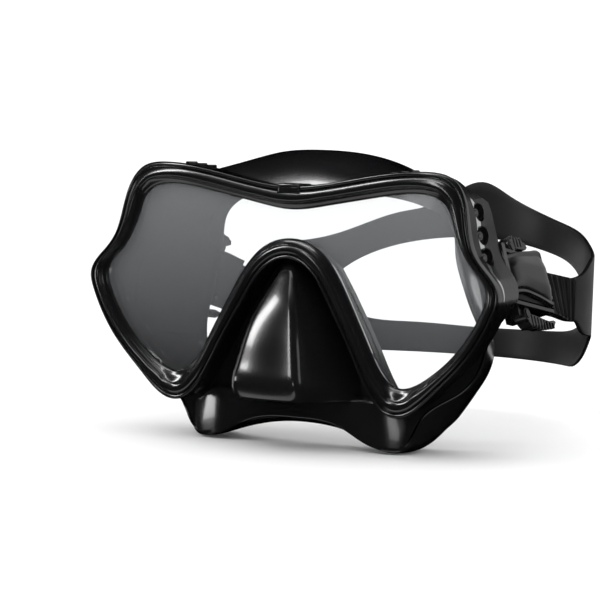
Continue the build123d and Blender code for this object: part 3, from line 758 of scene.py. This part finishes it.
def plate(name, buckle, outline, n_low, n_high, sign, radius=0.35):
    """Flat plate in the buckle's (u, w) plane between two levels."""
    points = [(u, sign * w) for u, w in outline]
    count = len(points)
    vertices = [buckle.at(u, n, w) for n in (n_low, n_high) for u, w in points]
    faces = [tuple(range(count)), tuple(range(count, 2 * count))]
    faces += [(k, (k + 1) % count, count + (k + 1) % count, count + k) for k in range(count)]
    obj = make(name, vertices, faces, 30)
    bevel(obj, radius)
    return applied(obj)


def lever_wing(buckle, up):
    """Ribbed finger wing of a release lever, with a round knuckle over its pin."""
    sign, name = (1, "upper_") if up else (-1, "lower_")
    outline = WING_UPPER if up else WING_LOWER
    wing = plate("wing", buckle, outline, -1.6, 1.9, sign)
    first, last = (17.0, 31.5) if up else (23.0, 45.0)
    extras = []
    for u in np.arange(first, last, WING_RIB_GAP):
        inner = np.interp(u, *zip(*outline[:4])) + 1.0
        outer = np.interp(u, *zip(*sorted(outline[4:]))) + 0.5
        rib = [(u, inner), (u + WING_RIB_WIDE, inner), (u + WING_RIB_WIDE, outer), (u, outer)]
        extras.append(plate("rib", buckle, rib, 0.9, 2.87, sign, 0.3))
    turns = np.linspace(0.1, 0.1 + 2 * pi, 22)[:-1]
    circle = [(KNUCKLE[0] + KNUCKLE_R * cos(a), KNUCKLE[1] + KNUCKLE_R * sin(a)) for a in turns]
    extras.insert(0, plate("knuckle", buckle, circle, -2.3, 3.03, sign, 0.4))
    wing.name = "lever_wing_" + name + buckle.side
    for extra in extras:
        boolean(wing, extra, "UNION")
    soften(wing, 32)
    finish_piece(wing, LEVER, "lever_" + name + buckle.side)


# --- temple plugs ---

PLUG_PLACES = [(71.3, 14.6, 93.8), (74.0, 13.4, 85.3), (76.6, 11.8, 77.3)]
PLUG_TURN = 40.0          # how far the plugs face forwards from straight sideways
PLUG_LEAN = 10.0          # and how far upwards
PLUG_WIDE, PLUG_TALL = 0.92, 1.08
# Plug section as (radius, height over the frame), from the middle out over the rim and down inside
PLUG_PROFILE = [(0.0, -0.9), (0.7, -0.9), (0.9, -1.2), (1.5, -1.2), (1.7, -0.7), (2.15, -0.6), (2.4, 0.1),
                (2.65, 0.45), (3.0, 0.55), (3.3, 0.35), (3.4, -0.1), (3.4, -3.4), (0.0, -3.4)]


def plugs(side):
    """Three stepped plugs: rolled rim, recess and a small six-sided core."""
    sign = 1 if side == "right" else -1
    turn, lean = radians(PLUG_TURN), radians(PLUG_LEAN)
    axis = np.array([cos(turn) * cos(lean), -sin(turn) * cos(lean), sin(lean)])
    level = np.array([sin(turn), cos(turn), 0.0])
    upward = np.cross(axis, level)
    upward *= np.sign(upward[2])
    meshes = []
    for place in PLUG_PLACES:
        loops = []
        for angle in np.linspace(0, 2 * pi, 49)[:-1]:
            loop = []
            for radius, height in PLUG_PROFILE:
                if 0.6 < radius < 0.95:
                    radius *= 1 + 0.12 * abs(sin(3 * angle))
                ray = PLUG_WIDE * cos(angle) * level + PLUG_TALL * sin(angle) * upward
                p = np.array(place) + axis * height + radius * ray
                loop.append((sign * p[0], p[1], p[2]))
            loops.append(loop)
        meshes.append(tube_mesh("plug", loops, 35))
    bm = bmesh.new()
    for obj in meshes:
        bm.from_mesh(obj.data)
    mesh = bpy.data.meshes.new("plug_rims_" + side)
    bm.to_mesh(mesh)
    bm.free()
    for obj in meshes:
        bpy.data.objects.remove(obj)
    rims = new_object("plug_rims_" + side, mesh)
    soften(rims, 35)
    finish_piece(rims, PLUG, "mask", ("temple_plugs_" + side,))


# --- strap ---

# Middle line in plan as (x, y), from behind the right buckle round the head to the left one
STRAP_PLAN = [(77.4, 108), (78.4, 130), (72.6, 153), (58, 174), (34, 189.5), (6, 194),
              (-22, 190), (-46, 178.5), (-62, 160), (-66, 140), (-60.5, 119), (-54, 100)]
# Upper edge and the two edges of the split as (x, z), seen from behind
STRAP_TOP = [(-95, 72), (-62, 74), (-46, 81), (-32, 87), (-19, 90.5), (-7, 97), (6, 102.5), (19, 97),
             (34, 90.5), (48, 86.2), (62.5, 81.5), (73, 75), (95, 68)]
SPLIT_TOP = [(-59, 51), (-53, 60), (-41, 68.5), (-22, 74.5), (6, 77), (25, 75.5), (42, 72.4), (55.5, 68.4),
             (63.5, 62.5), (69, 54), (71, 51)]
SPLIT_LOW = [(-59, 49), (-47, 39.5), (-24, 36.8), (3, 36), (22, 36.2), (49, 37.6), (60, 39.8),
             (66, 43.5), (71, 49)]
# Where the strap widens behind the buckles: its upper and lower edges as (y, z), seen from the side
FORK_HIGH = [(90, 66), (114, 66), (123, 67.6), (132, 71.7), (140, 77), (148, 90), (160, 118), (200, 240)]
FORK_LOW = [(90, 48), (114, 48), (117.5, 46.8), (120, 44.8), (124, 42.4), (130, 41), (140, 40), (152, 37.3),
            (163, 29.5), (172, 23.5), (184, 20), (200, 15)]
STRAP_LOW = 23.0          # lower edge behind the head
BAND_LOW, BAND_HIGH = 48.0, 66.0     # edges of the tails in front of the fork
FORK_FROM = 112.0         # depth at which the tails begin to widen
SPLIT_FROM = 145.0        # depth at which the split begins
SPLIT_LEFT, SPLIT_RIGHT = -59.0, 73.0
SPLIT_CENTRE = 52.0       # height at which the two branches meet where the strap is whole
RIGHT_TAIL = (40.0, 44.0, 48.0, 54.0, 60.0)     # stations out of each buckle, from its pin
LEFT_TAIL = (54.0, 48.0, 44.0, 40.0)


def soft_min(a, b, width=3.0):
    """The smaller of two values, with a soft change from one to the other."""
    h = np.clip(0.5 + 0.5 * (b - a) / width, 0, 1)
    return b * (1 - h) + a * h - width * h * (1 - h)


def strap_stations(right, left):
    """Bottom and top edge places along the whole strap, from the right buckle to the left."""
    def tail(buckle, stations):
        return [[*buckle.at(u, -LAYER, -STRAP_HALF), *buckle.at(u, -LAYER, STRAP_HALF)] for u in stations]

    band = [[x, y, BAND_LOW, x, y, BAND_HIGH] for x, y in STRAP_PLAN]
    fine = spline(tail(right, RIGHT_TAIL) + band + tail(left, LEFT_TAIL), 14, False)
    return fine[:, :3], fine[:, 3:]


def strap_sheet(right, left):
    """Bottom, top and split heights at each station along the whole strap."""
    bottom, top = strap_stations(right, left)
    high_curve = spline(STRAP_TOP, 12, False)
    gap_high, gap_low = spline(SPLIT_TOP, 12, False), spline(SPLIT_LOW, 12, False)
    fork_high, fork_low = spline(FORK_HIGH, 12, False), spline(FORK_LOW, 12, False)
    columns = []
    for low, high in zip(bottom, top):
        x, y = (low + high)[:2] / 2
        start, end = low.copy(), high.copy()
        gap = None
        if y > FORK_FROM:
            z_high = soft_min(np.interp(y, *fork_high.T), np.interp(x, *high_curve.T))
            z_low = max(np.interp(y, *fork_low.T), STRAP_LOW)
            start = np.array([x, y, z_low])
            end = np.array([x, y, z_high])
            if y > SPLIT_FROM and SPLIT_LEFT < x < SPLIT_RIGHT:
                gap = (np.interp(x, *gap_low.T), np.interp(x, *gap_high.T))
        columns.append((start, end, gap))
    return columns


def strap_mesh(columns, name, across=6):
    """Faces for every column pair, with the split left open, thickened and with rounded edges."""
    vertices, faces = [], []
    for start, end, gap in columns:
        total = end[2] - start[2]
        if gap:
            a, b = [(z - start[2]) / total for z in gap]
        elif start[1] > 130:
            a = b = (SPLIT_CENTRE - start[2]) / total
        else:
            a = b = 0.5
        for k in range(across + 1):
            vertices.append(start + (end - start) * a * k / across)
        for k in range(across + 1):
            vertices.append(start + (end - start) * (b + (1 - b) * k / across))
    width = 2 * (across + 1)
    for i in range(len(columns) - 1):
        for k in (*range(across), *range(across + 1, width - 1)):
            p = i * width + k
            faces.append((p, p + 1, p + width + 1, p + width))
    obj = make(name, vertices, faces, 180)
    solid = obj.modifiers.new("thickness", "SOLIDIFY")
    solid.thickness = STRAP_THICK / 1000
    solid.offset = 0
    solid.use_even_offset = True
    bevel(obj, 0.38, 3, 50)
    return applied(obj)


def part_at(obj, point, normal, keep_front, name):
    """A copy of obj with only what lies on one side of a plane, closed at the cut."""
    mesh = obj.data.copy()
    bm = bmesh.new()
    bm.from_mesh(mesh)
    geometry = bm.verts[:] + bm.edges[:] + bm.faces[:]
    place = Vector(row(point)[0])
    cut = bmesh.ops.bisect_plane(bm, geom=geometry, plane_co=place, plane_no=Vector(normal),
                                 clear_outer=not keep_front, clear_inner=keep_front)
    edges = [e for e in cut["geom_cut"] if isinstance(e, bmesh.types.BMEdge)]
    bmesh.ops.holes_fill(bm, edges=edges)
    bm.to_mesh(mesh)
    bm.free()
    return new_object(name, mesh)


def lace_path(free):
    """The strap's way through a buckle as (u, n): in under the cover, round the roller and out."""
    path = [(41.0, -LAYER), (30, -LAYER), (20, -LAYER)]
    for t in np.linspace(0, 1, 13):
        angle = -pi / 2 - t * pi
        path.append((ROLLER_U + LAYER * cos(angle), LAYER * sin(angle)))
    return path + [(20, LAYER), (32, LAYER), (EXIT_U + free, LAYER)]


def strip(name, centres, across, outward, ribs=None):
    """Flat strap following centre points, with rounded edges and optional raised ribs."""
    half, r = STRAP_HALF, STRAP_THICK / 2
    if ribs is None:
        ribs = np.zeros(len(centres))
    loops = []
    for c, w, n, rib in zip(centres, across, outward, ribs):
        section = [(-r, -half + 0.4), (-r, half - 0.4), (-r + 0.15, half - 0.1), (0, half),
                   (r - 0.15, half - 0.1), (r, half - 0.4), (r + rib, half - 1.2), (r + rib, -half + 1.2),
                   (r, -half + 0.4), (r - 0.15, -half + 0.1), (0, -half), (-r + 0.15, -half + 0.1)]
        loops.append([c + n * a + w * b for a, b in section])
    return tube_mesh(name, loops, 40, closed=False)


def lace(buckle, free):
    """The part of the strap's end inside the buckle."""
    path = np.array(lace_path(free))
    along = np.gradient(path, axis=0)
    along /= np.linalg.norm(along, axis=1)[:, None]
    centres = [buckle.at(u, n, 0) for u, n in path]
    outward = [buckle.u * an - buckle.n * au for au, an in along]
    obj = strip("strap_lace_" + buckle.side, centres, [buckle.w] * len(path), outward)
    finish_piece(obj, STRAP, "buckle_" + buckle.side)


FREE_LIES = 1.75          # height of the free end over the strap it lies on
FREE_LONG = 33.0          # how far it reaches beyond the buckle
RIBS_FROM, RIBS_TO, RIB_STEP = 13.0, 30.0, 4.6
RIB_HIGH = 0.75
TAIL_POINTS = 120         # stations of the strap that can lie under the free end


def free_end(buckle, bottom, top):
    """Free end of the strap beyond the buckle: it drops onto the strap's outer face, ribbed near its tip."""
    centre, across = (bottom + top) / 2, top - bottom
    across /= np.linalg.norm(across, axis=1)[:, None]
    along = np.gradient(centre, axis=0)
    along /= np.linalg.norm(along, axis=1)[:, None]
    outward = np.cross(along, across)
    u = (centre - buckle.pivot) @ buckle.u
    lifted, w, n, ribs = [], [], [], []
    for far in np.arange(-2.0, FREE_LONG, 0.3):
        reach = EXIT_U + far
        k = int(np.argmin(np.abs(u[:TAIL_POINTS] - reach)))
        k = k if u[k] <= reach else k - 1
        f = (reach - u[k]) / (u[k + 1] - u[k])
        middle, w_here, n_here = (a[k] * (1 - f) + a[k + 1] * f for a in (centre, across, outward))
        lift = 2 * LAYER + (FREE_LIES - 2 * LAYER) * smoothstep(0, 8, far)
        lifted.append(middle + n_here * lift)
        w.append(w_here)
        n.append(n_here)
        phase = (far - RIBS_FROM) % RIB_STEP / RIB_STEP
        ridge = smoothstep(0.0, 0.12, phase) * (1 - smoothstep(0.3, 0.42, phase))
        tip = smoothstep(FREE_LONG - 1.6, FREE_LONG - 1.2, far)
        ribs.append(RIB_HIGH * max(float(ridge) * (RIBS_FROM < far < RIBS_TO), float(tip)))
    return strip("strap_free_" + buckle.side, lifted, w, n, ribs)


BEND_TO = 158.0           # depth at which the stretch given by strap_reach ends
REAR_SEAM = (6.0, 190.0, 57.0)       # where the two halves of the strap's mesh meet


def strap_reach(buckle):
    """Start and end of the stretch of strap from just beyond a buckle's exit back to BEND_TO."""
    start = buckle.at(EXIT_U + 2.0, -LAYER, 0)
    end = np.array([start[0], BEND_TO, start[2]])
    return tuple(row(start)[0]), tuple(row(end)[0])


def strap(right, left):
    """The strap in two halves that meet behind the head, and its free end at the right buckle."""
    columns = strap_sheet(right, left)
    whole = strap_mesh(columns, "strap_whole")
    halves = {"right": part_at(whole, REAR_SEAM, (1, 0, 0), True, "strap_right"),
              "left": part_at(whole, REAR_SEAM, (1, 0, 0), False, "strap_left")}
    bpy.data.objects.remove(whole)
    bottom, top = np.array([c[0] for c in columns]), np.array([c[1] for c in columns])
    free = free_end(right, bottom, top)
    for buckle, nodes in ((right, ("strap", "strap_end_right")), (left, ("strap_end_left",))):
        half = halves[buckle.side]
        soften(half, 40)
        start, end = strap_reach(buckle)
        for piece in (half, free) if buckle is right else (half,):
            finish_piece(piece, STRAP)
            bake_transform(piece)
        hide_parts(*nodes)


# --- the other CAD nodes ---

def painted_nodes():
    """Finishes for the CAD nodes that keep their own shape."""
    paint_node("lens", LENS, 0)
    paint_node("rear_frame", SHELL, 0)
    for side in ("right", "left"):
        paint_node("temple_insert_" + side, CHROME, 0)
        paint_node("buckle_housing_" + side, BUCKLE, 0.2)
        paint_node("strap_roller_" + side, ROLLER, 0)
        paint_node("roller_pin_" + side, STEEL, 0.1)
        paint_node("hinge_pin_" + side, STEEL, 0.2)
        paint_node("lever_pins_" + side, STEEL, 0.15)
        for level in ("upper_", "lower_"):
            paint_node("release_lever_" + level + side, LEVER, 0.25)


# --- studio ---

FLOOR_HALF = 6.0          # metres
FLOOR_BELOW = 0.0004      # gap under the mask, which keeps the two surfaces apart
FLOOR_WHITE = 0.96
STUDIO_WHITE = 1.2        # strength of the white surroundings


def floor():
    """White floor that only the camera and soft light see."""
    mesh = bpy.data.meshes.new("floor")
    half = FLOOR_HALF
    corners = [(-half, -half, 0), (half, -half, 0), (half, half, 0), (-half, half, 0)]
    mesh.from_pydata(corners, [], [(0, 1, 2, 3)])
    obj = new_object("floor", mesh)
    obj.location.z = -FLOOR_BELOW
    material, shader = new_material("floor_white", [FLOOR_WHITE] * 3, 0.9)
    shader.inputs["Specular IOR Level"].default_value = 0.1
    mesh.materials.append(material)
    obj.visible_glossy = False


def area_light(name, azimuth, elevation, far, width, height, power, diffuse=False, only=()):
    """Soft box seen in reflections only, or lighting matt surfaces only if it is diffuse. Its angle
    round the mask is 0 straight in front, positive to the right. It can be kept to some pieces."""
    light = bpy.data.lights.new(name, "AREA")
    light.shape = "RECTANGLE"
    light.size, light.size_y = width, height
    light.energy = power
    obj = new_object(name, light)
    a, e = radians(azimuth), radians(elevation)
    away = Vector((sin(a) * cos(e), -cos(a) * cos(e), sin(e)))
    obj.location = Vector((0, -0.05, 0.06)) + far * away
    obj.rotation_euler = away.to_track_quat("Z", "Y").to_euler()
    obj.visible_diffuse = diffuse
    obj.visible_glossy = not diffuse
    if only:
        lit = bpy.data.collections.new(name + "_lights")
        for piece in only:
            lit.objects.link(bpy.data.objects[piece])
        obj.light_linking.receiver_collection = lit
    obj.visible_camera = False


def studio():
    """White surroundings, the floor and the soft boxes whose reflections shape the black surfaces."""
    world = bpy.data.worlds.new("studio")
    world.use_nodes = True
    background = world.node_tree.nodes["Background"]
    background.inputs["Color"].default_value = (1, 1, 1, 1)
    background.inputs["Strength"].default_value = STUDIO_WHITE
    world.cycles_visibility.glossy = False
    bpy.context.scene.world = world
    bpy.context.scene.view_settings.view_transform = "Standard"
    floor()
    # Name, angle round the mask and above it, distance, width and height in metres, power
    area_light("left_strip", -43, 34, 1.2, 0.18, 0.75, 10)
    area_light("front_strip", -5, 34, 1.2, 0.1, 0.75, 3.2)
    area_light("top_box", 40, 80, 1.0, 0.8, 0.45, 2.6)
    area_light("brow_box", -20, 60, 1.2, 0.9, 0.1, 3.5, only=("bezel_ring", "latch_pad"))
    area_light("low_left", -58, -4, 1.3, 0.4, 0.3, 3.6)
    area_light("low_front", 20, -6, 1.3, 0.25, 0.3, 1)
    area_light("left_panel", -108, 0, 1.3, 1.2, 0.9, 4)
    area_light("right_strip", 86, 14, 1.2, 0.5, 0.5, 1.1)
    area_light("back_panel", 165, 8, 1.5, 1.4, 0.9, 2)
    area_light("floor_bounce", -15, -62, 1.2, 1.6, 0.5, 3)
    area_light("fill", -10, 40, 1.2, 1.0, 0.6, 4, True)


CAMERA_TURN = 25.0        # degrees round to the mask's right side
CAMERA_RISE = 4.0
CAMERA_ROLL = -2.0
CAMERA_FAR = 858.0
CAMERA_LEVEL = 64.0       # height over the origin of the point that AIM counts from
AIM = (-6.01, 6.36)       # how far right of and above the picture's middle that point is
LENS_MM = 135.0
SENSOR_MM = 36.0


def camera():
    """Long lens from the right front, a little above the mask."""
    turn, rise, roll = radians(CAMERA_TURN), radians(CAMERA_RISE), radians(CAMERA_ROLL)
    back = Vector((sin(turn) * cos(rise), -cos(turn) * cos(rise), sin(rise)))
    right = Vector((cos(turn), sin(turn), 0))
    up = back.cross(right)
    middle = Vector((0, 0, CAMERA_LEVEL)) - AIM[0] * right - AIM[1] * up + CAMERA_FAR * back
    x_axis = cos(roll) * right - sin(roll) * up
    y_axis = sin(roll) * right + cos(roll) * up
    data = bpy.data.cameras.new("camera")
    data.lens = LENS_MM
    data.sensor_width = SENSOR_MM
    data.clip_start, data.clip_end = 0.05, 50
    obj = new_object("camera", data)
    turn_matrix = Matrix((x_axis, y_axis, back)).transposed()
    obj.matrix_world = Matrix.Translation(Vector(row(tuple(middle))[0])) @ turn_matrix.to_4x4()
    bpy.context.scene.camera = obj


BUCKLES = {side: Buckle(side) for side in ("right", "left")}
painted_nodes()
bezel()
latch()
skirt()
for buckle in BUCKLES.values():
    cover(buckle)
lace(BUCKLES["right"], 0.5)
lace(BUCKLES["left"], 4.0)
strap(BUCKLES["right"], BUCKLES["left"])
for side in ("right", "left"):
    plugs(side)
    for up in (True, False):
        lever_wing(BUCKLES[side], up)
studio()
camera()
